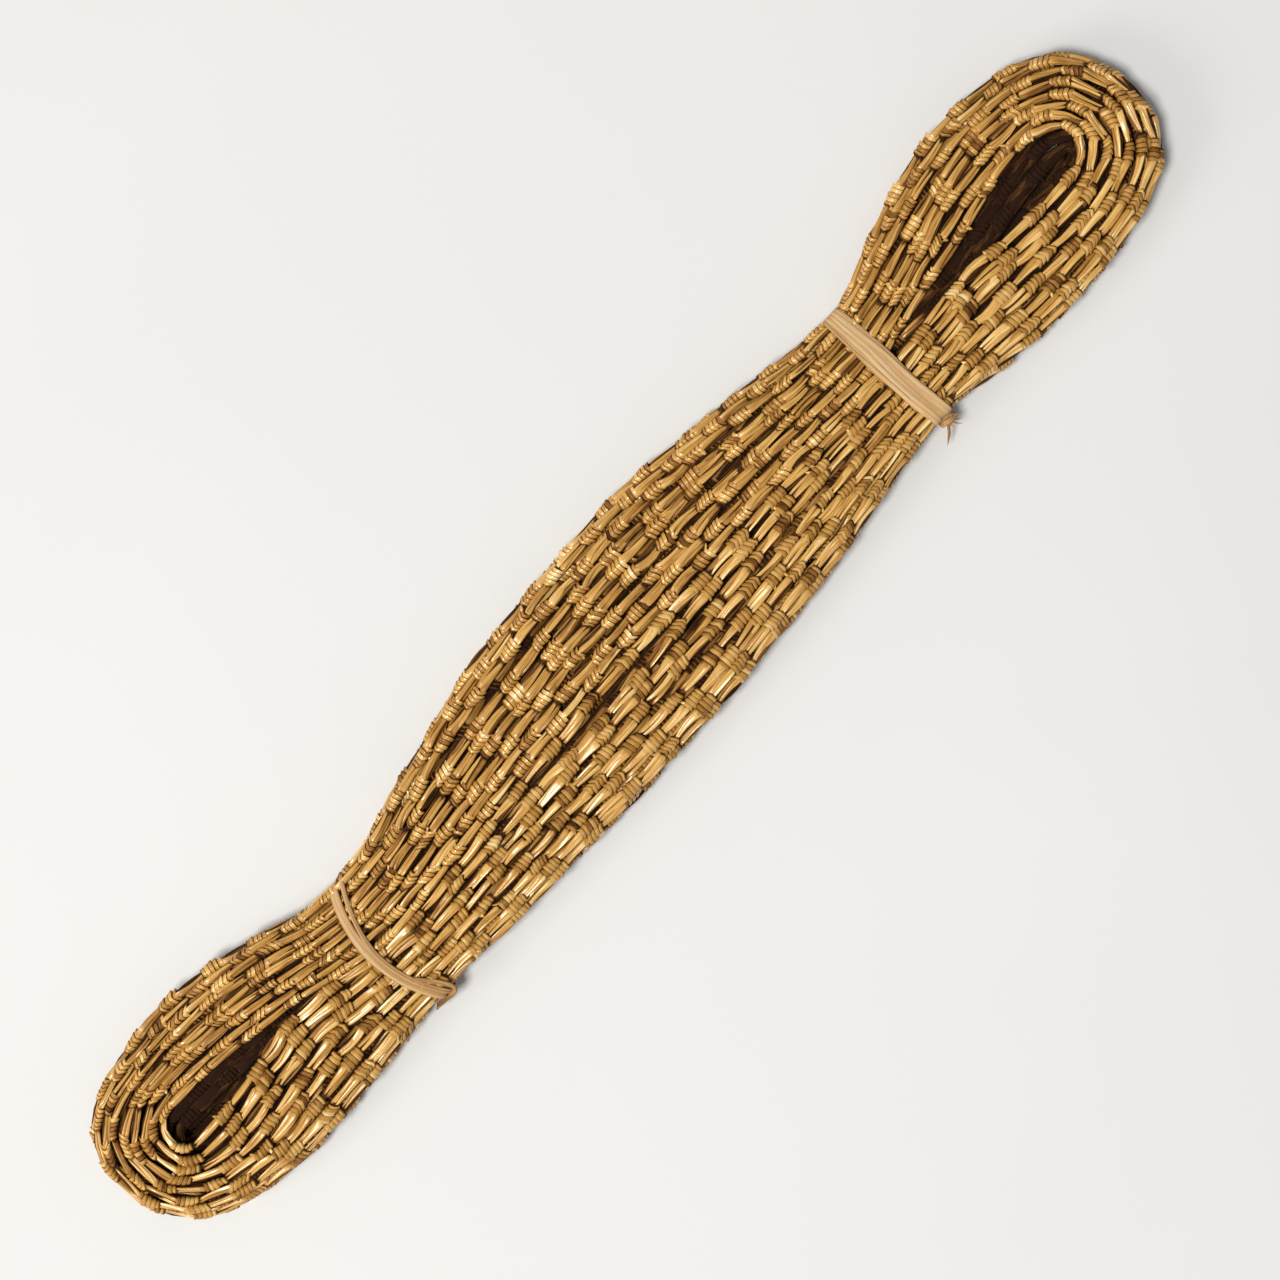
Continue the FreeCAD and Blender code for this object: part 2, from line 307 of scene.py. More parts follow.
def cap_points(course, row, which):
    """The points round the end loop that follows a row, up to the next course if it is the last."""
    last = row == ROWS[course] - 1
    if last and course == TOP:
        return []
    next_course = course + 1 if last else course
    out_from = row_outness(course, row)
    out_to = row_outness(next_course, 0 if last else row + 1)
    end = "right" if which == "Upper" else "left"
    points = []
    for step in range(1, CAP_POINTS):
        part = step / CAP_POINTS
        turn = (1 - 2 * part) * (1 if which == "Upper" else -1)
        ease = float(smooth(part))
        outness = out_from + (out_to - out_from) * ease
        before = loop_end(turn, end, outness, course)
        after = loop_end(turn, end, outness, next_course)
        x, y, pitch = (a + (b - a) * ease for a, b in zip(before, after))
        low = float(course_height(np.array(x), course, outness))
        high = float(course_height(np.array(x), next_course, outness))
        height = low + (high - low) * ease + rng.normal(0, HEIGHT_JITTER)
        x = x + rng.normal(0, LOOP_JITTER) * outness
        y = y + rng.normal(0, LOOP_JITTER) * outness
        points.append((x, y, height, pitch, course + (next_course - course) * ease, outness))
    return points


def nurbs_line(points):
    """The points, in mm, of a smooth NURBS line drawn through a route's control points."""
    data = bpy.data.curves.new("route", "CURVE")
    data.dimensions = "3D"
    data.resolution_u = 4
    spline = data.splines.new("NURBS")
    spline.points.add(len(points) - 1)
    flat = np.ones((len(points), 4))
    flat[:, :3] = np.asarray(points)[:, :3] * MM
    spline.points.foreach_set("co", flat.ravel())
    spline.order_u = 3
    spline.use_endpoint_u = True
    holder = bpy.data.objects.new("route", data)
    mesh = bpy.data.meshes.new_from_object(holder)
    line = np.empty(len(mesh.vertices) * 3)
    mesh.vertices.foreach_get("co", line)
    bpy.data.objects.remove(holder)
    bpy.data.curves.remove(data)
    bpy.data.meshes.remove(mesh)
    return line.reshape(-1, 3) / MM


class Line:
    """A smooth line to build along: places, and directions along, across and up, by distance."""

    def __init__(self, places):
        self.places = places
        steps = np.linalg.norm(np.diff(places, axis=0), axis=1)
        self.distance = np.concatenate([[0], np.cumsum(steps)])
        self.length = self.distance[-1]
        along = np.gradient(places, self.distance, axis=0)
        self.along = along / np.linalg.norm(along, axis=1)[:, None]
        across = np.cross([0, 0, 1], self.along)
        self.across = across / np.linalg.norm(across, axis=1)[:, None]

    def read(self, table, at):
        columns = [np.interp(at, self.distance, table[:, k]) for k in range(table.shape[1])]
        return np.stack(columns, axis=-1)

    def put(self, at, sideways, upwards):
        """Points at a distance along the line, moved sideways and up from it."""
        across = self.read(self.across, at)
        up = np.cross(self.read(self.along, at), across)
        up /= np.linalg.norm(up, axis=-1)[..., None]
        return self.read(self.places, at) + across * sideways[..., None] + up * upwards[..., None]


route = hank_route()
route_line = nurbs_line(route)
# The room between rows, the course and how far out, at each point of the smooth line.
nearest_point = np.linspace(0, len(route) - 2, len(route_line)) + 0.5
line_pitch, line_course, line_out = (
    np.interp(nearest_point, np.arange(len(route)), column) for column in route[:, 3:].T
)
cord_line = Line(route_line)
print(f"cord: {len(route)} route points, {cord_line.length / 1000:.2f} m")

# ---------------------------------------------------------------- meshes from grids of points


class Pieces:
    """Gathers grids of points into one mesh, with a tone and a grain direction at each point."""

    def __init__(self):
        self.points, self.faces, self.tones, self.grains, self.folds = [], [], [], [], []
        self.count = 0

    def add_tubes(self, points, tones, grains, folds=0):
        """One tube, with points that are rings x around x 3, or many copies of one at once.

        folds holds, at each point on a sharp fold, how far apart the indices of its ends are.
        """
        rings, around = points.shape[-3:-1]
        corners = rings * around
        copies = points.size // (3 * corners)
        shifts = self.count + np.arange(copies)[:, None, None] * corners
        self.points.append(points.reshape(-1, 3))
        self.faces.append((tube_faces(rings, around)[None] + shifts).reshape(-1, 4))
        self.tones.append(np.broadcast_to(tones, points.shape[:-1]).ravel())
        self.folds.append(np.broadcast_to(folds, points.shape[:-1]).ravel())
        self.grains.append(grains.reshape(-1, 3))
        self.count += copies * corners

    def build(self, name, material):
        points = np.concatenate(self.points) * MM
        faces = np.concatenate(self.faces)
        mesh = bpy.data.meshes.new(name)
        mesh.vertices.add(len(points))
        mesh.vertices.foreach_set("co", points.ravel())
        mesh.loops.add(faces.size)
        mesh.loops.foreach_set("vertex_index", faces.ravel())
        mesh.polygons.add(len(faces))
        mesh.polygons.foreach_set("loop_start", np.arange(0, faces.size, 4))
        mesh.polygons.foreach_set("use_smooth", np.ones(len(faces), bool))
        tone = mesh.attributes.new("tone", "FLOAT", "POINT")
        tone.data.foreach_set("value", np.concatenate(self.tones).astype(np.float32))
        grain = mesh.attributes.new("grain", "FLOAT_VECTOR", "POINT")
        grain.data.foreach_set("vector", np.concatenate(self.grains).astype(np.float32).ravel())
        mesh.update(calc_edges=True)
        edges = np.empty(len(mesh.edges) * 2, np.int32)
        mesh.edges.foreach_get("vertices", edges)
        first, second = edges.reshape(-1, 2).T
        folds = np.concatenate(self.folds)
        sharp = (folds[first] > 0) & (folds[first] == folds[second])
        sharp &= np.abs(second - first) == folds[first]
        mesh.attributes.new("sharp_edge", "BOOLEAN", "EDGE").data.foreach_set("value", sharp)
        mesh.materials.append(material)
        piece = bpy.data.objects.new(name, mesh)
        bpy.context.scene.collection.objects.link(piece)
        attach(piece, BODY)
        return piece


def tube_faces(rings, around):
    """Quads over a tube of rings, closed at both ends by the quads across its end rings."""
    ring = np.arange(rings - 1)[:, None] * around
    step = np.arange(around)
    following = (step + 1) % around
    quads = np.stack(
        [ring + step, ring + following, ring + around + following, ring + around + step], axis=-1
    ).reshape(-1, 4)
    ends = []
    half = around // 2
    for base, flip in ((0, True), ((rings - 1) * around, False)):
        for k in range(half - 1):
            quad = [base + k, base + k + 1, base + around - 2 - k, base + around - 1 - k]
            ends.append(quad[::-1] if flip else quad)
    return np.concatenate([quads, np.array(ends)])


# ---------------------------------------------------------------- the plait

UNIT = 17.2  # from one knot to the next
WRAPS = 5
WRAP_PITCH = 1.5
KNOT_START = 0.6
KNOT_END = KNOT_START + WRAPS * WRAP_PITCH
FULL_PITCH = 3.95  # the room between rows where the cord isn't squeezed

unit_count = int(cord_line.length / UNIT)
unit_at = (np.arange(unit_count) + 0.25) * UNIT + rng.normal(0, 0.7, unit_count)
unit_at = np.clip(unit_at, 0.5, cord_line.length - UNIT - 2.5)
unit_course = np.rint(np.interp(unit_at + UNIT / 2, cord_line.distance, line_course)).astype(int)
unit_out = np.interp(unit_at + UNIT / 2, cord_line.distance, line_out)
unit_middle = cord_line.read(cord_line.places, unit_at + UNIT / 2)
unit_knot = cord_line.read(cord_line.places, unit_at + KNOT_END / 2)
is_upper = unit_knot[:, 1] > 0
# CORE_SHADE_TONE is near black: painted shade in the gaps between the straws.
KNOT_TONE, BROAD_TONE, NARROW_TONE, UNDER_TONE, CORE_SHADE_TONE = 0.56, 0.62, 0.48, 0.42, 0.05

# A crosswise step at every knot makes the cord look sinuous.
unit_sway = rng.normal(0, 0.26, unit_count)
unit_lean = rng.normal(0, 0.32, unit_count)
unit_hand = np.where(rng.random(unit_count) < 0.7, 1.0, -1.0)
# Which units show: on the top course, on the hank's sides, or through its gaps and from below.
OUTER_ROWS = 0.85  # units further out than this are on the hank's sides
on_top, on_base = unit_course == TOP, unit_course == 0
outside = ~on_top & (unit_out > OUTER_ROWS)
by_eye = unit_out < 0.12
exposed = ~on_top & ~outside & (by_eye | (unit_course == TOP - 1) | on_base)
hidden = ~on_top & ~exposed & ~outside
# Painted shade: straws deep inside the hank are painted darker, and those round the eyes darker
# still.
unit_painted_shade = np.where(on_top | on_base, 0.0, np.where(unit_out > OUTER_ROWS, 0.02, 0.26))
in_eye = ~on_top & (np.abs(unit_middle[:, 0]) > 140) & (unit_out < 0.45)
unit_painted_shade = unit_painted_shade + 0.5 * in_eye


def shade(angle):
    """How much darker a straw is painted at an angle round it: painted shade on its lower side."""
    return 0.22 * (np.clip(np.sin(angle), -1, 0.3) - 0.3)


def squeeze_at(at):
    """How much of its full width and height the cord keeps at a distance along it."""
    pitch = np.interp(at, cord_line.distance, line_pitch)
    on_course = np.interp(at, cord_line.distance, line_course)
    widest = np.where(on_course > TOP - 0.5, 1.06, 1.3)  # the lower courses are pressed flat
    width = np.clip(pitch / FULL_PITCH, 0.74, widest)
    x = np.interp(at, cord_line.distance, cord_line.places[:, 0])
    height = 1 - 0.16 * np.clip(near_ties(x, PRESS_REACH), 0, 1)
    return width, height


def place(at, sideways, upwards, roll):
    """Turns a template's points about the cord by each copy's roll, then puts them on it."""
    turned = sideways * np.cos(roll) - upwards * np.sin(roll)
    raised = sideways * np.sin(roll) + upwards * np.cos(roll)
    width, height = squeeze_at(at)
    sway = np.interp(at, unit_at + KNOT_END / 2, unit_sway)
    return cord_line.put(at, turned * width + sway, raised * height)


# At each share of a wrap's length: how far out it stands.
WRAP_PROFILE = ((0.04, 0.72), (0.14, 0.88), (0.55, 0.97), (0.92, 1.0))
KNOT_SWELL = (0.88, 0.98, 1.04, 1.06, 1.0)  # each wrap's size against the knot's
KNOT_RADIUS = 2.05


def knot_rings(profile):
    """Along, radius and wrap of a knot's rings: each wrap laps over the foot of the next."""
    rings = [(-0.2, 0.35, 0)]
    for wrap in range(WRAPS):
        for share, reach in profile:
            radius = KNOT_SWELL[wrap] * reach * KNOT_RADIUS
            rings.append(((wrap + share) * WRAP_PITCH, radius, wrap))
    rings.append((WRAPS * WRAP_PITCH + 0.05, 1.0, WRAPS - 1))
    return np.array(rings)


def add_knots(pieces, units, around, fine):
    """The tight wraps at the start of each unit, slanted, and lapped in vees as in a plait."""
    rings = knot_rings(WRAP_PROFILE if fine else WRAP_PROFILE[::3])
    along, reach = rings[:, :1], rings[:, 1:2]
    wrap = rings[:, 2].astype(int)
    angle = np.linspace(0, 2 * math.pi, around, endpoint=False)[None]
    copies = len(units)
    one_each = (copies, 1, 1)
    uneven = (1 + rng.normal(0, 0.045, (copies, WRAPS)))[:, wrap][..., None]
    shoved = rng.normal(0, 0.13, (copies, WRAPS))[:, wrap][..., None]
    size = rng.normal(1.0, 0.05, one_each)
    sideways = np.cos(angle) * reach * uneven * size + shoved
    upwards = np.sin(angle) * reach * uneven * 0.95 * size
    plaited = rng.random(one_each) < np.where(is_upper[units], 0.75, 0.4)[:, None, None]
    vee = np.where(plaited, rng.uniform(0.6, 1.1, one_each), rng.uniform(0.05, 0.35, one_each))
    slant = rng.normal(0, 0.25, one_each)
    zip_step = np.where(plaited, rng.choice([-0.3, 0.0, 0.3], one_each), 0.0)
    lag = slant * np.cos(angle) + vee * (np.abs(np.cos(angle)) - 0.5)
    lag = lag + zip_step * np.tanh(5 * np.cos(angle))
    ends = np.ones((len(rings), 1))
    ends[[0, -1]] = 0.4
    at = unit_at[units][:, None, None] + KNOT_START + along * size + lag * ends
    at = np.broadcast_to(at, sideways.shape)
    points = place(at, sideways, upwards, rng.normal(0, 0.4, one_each))
    tone = KNOT_TONE + rng.normal(0, 0.06, one_each) - unit_painted_shade[units][:, None, None]
    tone = tone + rng.normal(0, 0.12, (copies, WRAPS))[:, wrap][..., None]
    # Painted shade: the grooves between the wraps are painted darker.
    groove = (reach < 0.8 * KNOT_RADIUS) * -0.5
    grain = np.stack(
        [
            np.broadcast_to(along * 2.2, sideways.shape),
            sideways * 0.3,
            upwards * 0.3 + rng.uniform(0, 90, one_each),
        ],
        axis=-1,
    )
    lip = np.isclose((along / WRAP_PITCH) % 1, WRAP_PROFILE[-1][0])
    pieces.add_tubes(points, tone + groove + shade(angle), grain, lip * 1)


# Each float's stations: share of its length, half width, half thickness, height over the axis.
BROAD_FLOAT = (
    (0.0, 0.40, 0.25, 1.15),
    (0.02, 0.66, 0.44, 1.34),
    (0.07, 0.84, 0.56, 1.40),
    (0.20, 0.80, 0.60, 1.26),
    (0.38, 0.70, 0.58, 1.04),
    (0.56, 0.61, 0.54, 0.84),
    (0.74, 0.55, 0.48, 0.66),
    (0.90, 0.47, 0.42, 0.52),
    (1.0, 0.38, 0.34, 0.40),
)
NARROW_FLOAT = (
    (0.0, 0.34, 0.24, 0.40),
    (0.05, 0.56, 0.38, 0.55),
    (0.30, 0.64, 0.46, 0.78),
    (0.60, 0.62, 0.44, 0.82),
    (0.88, 0.54, 0.38, 0.60),
    (1.0, 0.44, 0.28, 0.40),
)
STIFFNESS = 0.9  # straw stays nearly straight from knot to knot, even round a bend


def add_floats(pieces, units, stations, around, offsets, flip, tone, spread):
    """Open straws from one knot to the next. offsets is where they start and end sideways."""
    copies = len(units)
    one_each = (copies, 1, 1)
    share, half_width, half_thick, rise = (np.array(c)[:, None] for c in zip(*stations))
    angle = np.linspace(0, 2 * math.pi, around, endpoint=False)[None]
    wide = rng.normal(1.0, 0.1, one_each)
    crease = 1 + 0.11 * np.cos(3 * angle + rng.uniform(0, 6.3, one_each))
    hand = unit_hand[units][:, None, None]
    forked = rng.uniform(0.2, 1.3, one_each)
    drift = (offsets[0] + (offsets[1] - offsets[0]) * share * forked) * hand
    drift = drift + rng.normal(0, 0.2, one_each) * share
    lean = unit_lean[units][:, None, None] + rng.normal(0, 0.12, one_each)
    drift = drift + lean * np.sin(math.pi * share)
    belly = rng.normal(0.05, 0.14, one_each) * np.sin(math.pi * share)
    sideways = np.cos(angle) * half_width * wide * crease
    flat = np.sign(np.sin(angle)) * np.abs(np.sin(angle)) ** 0.75
    upwards = flat * half_thick * crease
    twist = rng.normal(0, 0.45, one_each) * (share - 0.1)
    sideways, upwards = (
        sideways * np.cos(twist) - upwards * np.sin(twist) + drift,
        sideways * np.sin(twist) + upwards * np.cos(twist) + rise + belly,
    )
    if flip:
        sideways, upwards = -sideways, -upwards
    begin = KNOT_END - 0.55 + rng.normal(0, 0.25, one_each)
    end = UNIT + KNOT_START + 1.1
    at = unit_at[units][:, None, None] + begin + (end - begin) * share
    at = np.broadcast_to(at, sideways.shape)
    points = place(at, sideways, upwards, rng.normal(0, 0.25, one_each))
    centre = cord_line.read(cord_line.places, at[:, :, 0])
    chord = centre[:, :1] + (centre[:, -1:] - centre[:, :1]) * share
    pull = (chord - centre) * STIFFNESS
    depth = np.linalg.norm(pull, axis=-1, keepdims=True)
    pull = pull * np.minimum(1, 0.9 / np.maximum(depth, 1e-6))
    points = points + pull[:, :, None]
    # Painted shade: each straw is painted darker where its end goes in under the next knot.
    tones = tone + rng.normal(0, spread, one_each) - 0.25 * (share > 0.95)
    tones = tones + shade(angle) - unit_painted_shade[units][:, None, None]
    grain = np.stack(
        [
            np.broadcast_to((begin + (end - begin) * share) * 0.1, sideways.shape),
            np.cos(angle) * half_width * wide * 1.5 + 0 * upwards,
            np.sin(angle) * half_thick * 1.5 + rng.uniform(0, 90, one_each) + 0 * upwards,
        ],
        axis=-1,
    )
    sharp_columns = np.isin(np.arange(around), (0, around // 6, around // 3, around // 2))
    pieces.add_tubes(points, tones, grain, sharp_columns * around)


def add_plait_floats(pieces, units, around, fine):
    """Three straws over the cord and two under it, slanting a little from knot to knot."""
    broad = BROAD_FLOAT if fine else BROAD_FLOAT[::2]
    narrow = NARROW_FLOAT if fine else tuple(NARROW_FLOAT[k] for k in (0, 2, 3, 5))
    under = max(around - 4, 6)
    # Painted light: floats on the lower half are painted lighter, a painted highlight, and those on
    # the upper half darker, painted shade.
    painted_highlight_and_shade = np.where(is_upper[units], -0.05, 0.07)[:, None, None]
    pale, brown = BROAD_TONE + painted_highlight_and_shade, NARROW_TONE + painted_highlight_and_shade
    add_floats(pieces, units, broad, around, (0.54, 0.42), False, pale, 0.08)
    add_floats(pieces, units, broad, around, (-0.50, 0.05), False, pale - 0.06, 0.1)
    add_floats(pieces, units, narrow, under, (-1.0, -0.9), False, brown, 0.12)
    add_floats(pieces, units, broad, under, (0.45, 0.6), True, UNDER_TONE, 0.12)
    add_floats(pieces, units, broad, under, (-0.55, -0.5), True, UNDER_TONE, 0.12)


def add_stubs(pieces, units, around):
    """Cut ends of straw that stand out a little at the ends of some knots."""
    one_each = (len(units), 1, 1)
    share = np.linspace(0, 1, 4)[:, None]
    angle = np.linspace(0, 2 * math.pi, around, endpoint=False)[None]
    hand = rng.choice([-1.0, 1.0], one_each)
    half_width = np.array([0.5, 0.62, 0.55, 0.25])[:, None]
    reach = rng.uniform(1.0, 2.0, one_each)
    forward = rng.normal(0.35, 0.5, one_each)
    at = unit_at[units][:, None, None] + KNOT_END - 1.0 + np.cos(angle) * half_width
    at = at + forward * share * reach
    sideways = hand * (1.1 + share * reach) + 0 * at
    upwards = 1.05 - 0.5 * share + np.sin(angle) * 0.2 + rng.normal(0, 0.2, one_each) * share
    upwards = upwards + 0 * at
    points = place(at, sideways, upwards, rng.normal(0, 0.3, one_each))
    tones = BROAD_TONE + rng.normal(0, 0.12, one_each)
    grain = np.stack([sideways * 0.1, at * 1.5, upwards], axis=-1)
    pieces.add_tubes(points, tones, grain)


CORE_STEP, CORE_SIDES = 4.3, 6
CORE_RADIUS, CORE_SPREAD = 1.15, 1.95


def add_core(pieces):
    """A plain tube, from one end of the cord to the other, for the straws at its heart, painted
    dark as shade in the gaps between the straws.
    """
    rings = int(cord_line.length / CORE_STEP)
    at = np.linspace(0.05, cord_line.length - 0.05, rings)[:, None]
    angle = np.linspace(0, 2 * math.pi, CORE_SIDES, endpoint=False)[None]
    reach = CORE_RADIUS + 0.1 * rng.normal(0, 1, (rings, CORE_SIDES))
    on_course = np.interp(at, cord_line.distance, line_course)
    outness = np.interp(at, cord_line.distance, line_out)
    inside = (on_course < TOP - 0.5) & (outness < 0.8)
    spread = np.where(inside, CORE_SPREAD, 1.0)  # pressed flat inside the hank
    sideways, upwards = np.cos(angle) * reach * spread, np.sin(angle) * reach * 0.8
    at = np.broadcast_to(at, sideways.shape)
    points = place(at, sideways, upwards, 0.0)
    grain = np.stack([at * 0.12, sideways * 2.4, upwards * 2.4], axis=-1)
    pieces.add_tubes(points, CORE_SHADE_TONE, grain)


# ---------------------------------------------------------------- materials


def ramp(nodes, stops):
    node = nodes.new("ShaderNodeValToRGB")
    elements = node.color_ramp.elements
    while len(elements) < len(stops):
        elements.new(0.5)
    for element, (position, colour) in zip(elements, stops):
        element.position = position
        element.color = (*colour, 1)
    return node


def maths(tree, operation, first, second):
    node = tree.nodes.new("ShaderNodeMath")
    node.operation = operation
    for socket, value in zip(node.inputs, (first, second)):
        if isinstance(value, bpy.types.NodeSocket):
            tree.links.new(value, socket)
        else:
            socket.default_value = value
    return node.outputs[0]


def straw_material(name, stops, rough, gloss, fibre_depth, mottling):
    """Split straw or bast: fine fibres along each strip, stains, and a tone for every strip."""
    material = bpy.data.materials.new(name)
    material.use_nodes = True
    tree = material.node_tree
    nodes, links = tree.nodes, tree.links
    shader = nodes["Principled BSDF"]
    tone = nodes.new("ShaderNodeAttribute")
    tone.attribute_name = "tone"
    grain = nodes.new("ShaderNodeAttribute")
    grain.attribute_name = "grain"
    fibres = nodes.new("ShaderNodeTexNoise")
    fibres.inputs["Scale"].default_value = 1.6
    fibres.inputs["Detail"].default_value = 4.0
    fibres.inputs["Roughness"].default_value = 0.65
    links.new(grain.outputs["Vector"], fibres.inputs["Vector"])
    location = nodes.new("ShaderNodeTexCoord")
    stains = nodes.new("ShaderNodeTexNoise")
    stains.inputs["Scale"].default_value = 140.0
    stains.inputs["Detail"].default_value = 3.0
    links.new(location.outputs["Object"], stains.inputs["Vector"])
    fibre = maths(tree, "MULTIPLY", maths(tree, "SUBTRACT", fibres.outputs["Fac"], 0.5), 0.8)
    stain = maths(tree, "MULTIPLY", maths(tree, "SUBTRACT", stains.outputs["Fac"], 0.5), mottling)
    total = maths(tree, "ADD", maths(tree, "ADD", tone.outputs["Fac"], fibre), stain)
    colours = ramp(nodes, stops)
    links.new(total, colours.inputs["Fac"])
    links.new(colours.outputs["Color"], shader.inputs["Base Color"])
    shadow = maths(tree, "MULTIPLY", maths(tree, "SUBTRACT", 0.45, total), 1.6)
    shadow = maths(tree, "MAXIMUM", shadow, 0.0)
    roughness = maths(tree, "ADD", maths(tree, "MULTIPLY", fibres.outputs["Fac"], 0.25), rough)
    links.new(maths(tree, "ADD", roughness, shadow), shader.inputs["Roughness"])
    shader.inputs["Specular IOR Level"].default_value = 0.25
    polish = maths(tree, "MULTIPLY", maths(tree, "SUBTRACT", total, 0.3), 2.2 * gloss)
    polish = maths(tree, "MINIMUM", maths(tree, "MAXIMUM", polish, 0.0), gloss)
    links.new(polish, shader.inputs["Coat Weight"])
    shader.inputs["Coat Roughness"].default_value = 0.2
    shader.inputs["Coat IOR"].default_value = 1.6
    bump = nodes.new("ShaderNodeBump")
    bump.inputs["Strength"].default_value = fibre_depth
    bump.inputs["Distance"].default_value = 0.0002
    links.new(fibres.outputs["Fac"], bump.inputs["Height"])
    links.new(bump.outputs["Normal"], shader.inputs["Normal"])
    return material


STRAW_STOPS = (
    (0.0, (0.022, 0.007, 0.002)),
    (0.25, (0.19, 0.075, 0.012)),
    (0.5, (0.50, 0.26, 0.058)),
    (0.75, (0.72, 0.44, 0.13)),
    (1.0, (0.92, 0.74, 0.38)),
)
BAST_STOPS = (
    (0.0, (0.22, 0.11, 0.04)),
    (0.35, (0.40, 0.22, 0.085)),
    (0.6, (0.55, 0.35, 0.165)),
    (1.0, (0.72, 0.53, 0.31)),
)
straw = straw_material(
    "plaited_straw", STRAW_STOPS, rough=0.28, gloss=0.75, fibre_depth=0.6, mottling=0.3
)
bast = straw_material(
    "bast_strip", BAST_STOPS, rough=0.55, gloss=0.05, fibre_depth=0.8, mottling=0.2
)

# ---------------------------------------------------------------- the cord's pieces

cord_pieces = Pieces()
add_core(cord_pieces)
add_knots(cord_pieces, np.flatnonzero(hidden), 8, False)
straw_cord = cord_pieces.build("straw_cord", straw)


def add_piece(name, fill, units, *detail):
    """detail is the number of sides of each tube and, for knots and floats, if they are fine."""
    pieces = Pieces()
    fill(pieces, np.flatnonzero(units), *detail)
    pieces.build(name, straw)


add_piece("knots_top_upper", add_knots, on_top & is_upper, 14, True)
add_piece("knots_top_lower", add_knots, on_top & ~is_upper, 14, True)
stubbed = (rng.random(unit_count) < 0.3) & (near_ties(unit_knot[:, 0], COURSE_REACH) < 0.25)
add_piece("straw_ends", add_stubs, on_top & stubbed, 6)
add_piece("floats_top_upper", add_plait_floats, on_top & is_upper, 12, True)
add_piece("floats_top_lower", add_plait_floats, on_top & ~is_upper, 12, True)
add_piece("knots_outside", add_knots, outside, 12, True)
add_piece("floats_outside", add_plait_floats, outside, 10, True)
add_piece("knots_under", add_knots, exposed, 10, False)
add_piece("floats_under", add_plait_floats, exposed, 8, False)
add_piece("floats_hidden", add_plait_floats, hidden, 6, False)

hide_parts("straw_cord_hank")

# ---------------------------------------------------------------- the bast ties

TIE_LOW, TIE_HIGH = 0.6, 13.9
WIDE_ENDS, NARROW_ENDS = (-27.1, 19.9), (-30.0, 18.6)
LIFT_FROM = 7.1  # what lies over a tie's first strip is stretched away from this height
CROSSWISE = np.array([1.0, 0.0, 0.0])


def evenly(points, count):
    """The same line with its points evenly spaced."""
    steps = np.linalg.norm(np.diff(points, axis=0), axis=1)
    distance = np.concatenate([[0], np.cumsum(steps)])
    at = np.linspace(0, distance[-1], count)
    return np.stack([np.interp(at, distance, points[:, k]) for k in range(points.shape[1])], axis=1)


def round_hank(ends, count, overlap):
    """Y and Z once round the hank under a tie, starting and ending underneath."""
    turn = np.linspace(-math.pi - overlap, math.pi + overlap, 8 * count)
    sine, cosine = np.sin(turn), np.cos(turn)
    half_y, half_z = (ends[1] - ends[0]) / 2, (TIE_HIGH - TIE_LOW) / 2
    y = (ends[0] + ends[1]) / 2 - half_y * np.sign(sine) * np.abs(sine) ** 0.26
    z = (TIE_LOW + TIE_HIGH) / 2 + half_z * np.sign(cosine) * np.abs(cosine) ** 0.27
    return evenly(np.stack([y, z], axis=1), count)


def lift_off(line, middle, sideways, upwards):
    """A copy of a line round the hank, stretched off it so that it lies over another."""
    lifted = line.copy()
    lifted[:, 1] = middle + (line[:, 1] - middle) * sideways
    lifted[:, 2] = LIFT_FROM + (line[:, 2] - LIFT_FROM) * upwards
    return lifted


def add_strip(pieces, line, across, half_width, thick, ridges, depth, tone):
    """A flat strip along a line, with lengthwise ridges that wander a little."""
    count = len(line)
    columns = 6 * ridges
    along = np.gradient(line, axis=0)
    along /= np.linalg.norm(along, axis=1)[:, None]
    across = np.broadcast_to(across, line.shape)
    across = across - along * np.sum(across * along, axis=1)[:, None]
    across = across / np.linalg.norm(across, axis=1)[:, None]
    out = np.cross(along, across)
    part = np.linspace(0, 1, count)[:, None]
    u = np.linspace(-1, 1, columns)[None]
    wander = np.zeros((count, columns))
    for waves in (1, 2, 5):
        wander = wander + rng.uniform(0.1, 0.5) * np.sin(waves * 6.3 * part + rng.uniform(0, 6.3))
    height = np.abs(np.sin((u + 1) * ridges * math.pi / 2 + wander)) ** 0.7 * depth
    share = rng.uniform(0.35, 1.0, ridges + 2)
    height = height * np.interp((u + 1) * ridges / 2 + wander / 3.1, np.arange(ridges + 2), share)
    height = height + depth * 0.6 * np.sin(2.2 * u + 9 * part + rng.uniform(0, 6.3))
    edge = np.sqrt(np.clip(1 - u**6, 0, 1))
    outer, inner = edge * thick / 2 + height * edge, -edge * thick / 2 + 0 * part
    u = np.concatenate([u, u[:, ::-1]], axis=1) + 0 * part
    rise = np.concatenate([outer, inner[:, ::-1]], axis=1)
    half_width = np.broadcast_to(half_width, count)[:, None]
    reach = u * half_width * (1 + 0.02 * np.sin(31 * part) + 0.02 * np.sin(53 * part + 1))
    points = line[:, None] + across[:, None] * reach[..., None] + out[:, None] * rise[..., None]
    groove = np.concatenate([height, height[:, ::-1]], axis=1) / depth
    # Painted shade: the strip is painted darker in the hollows between its ridges.
    tones = tone - 0.16 + 0.2 * groove
    grain = (part * count * 0.03 + 0 * u, reach * 2.6, 0 * u + rng.uniform(0, 90))
    pieces.add_tubes(points, tones, np.stack(grain, axis=-1))


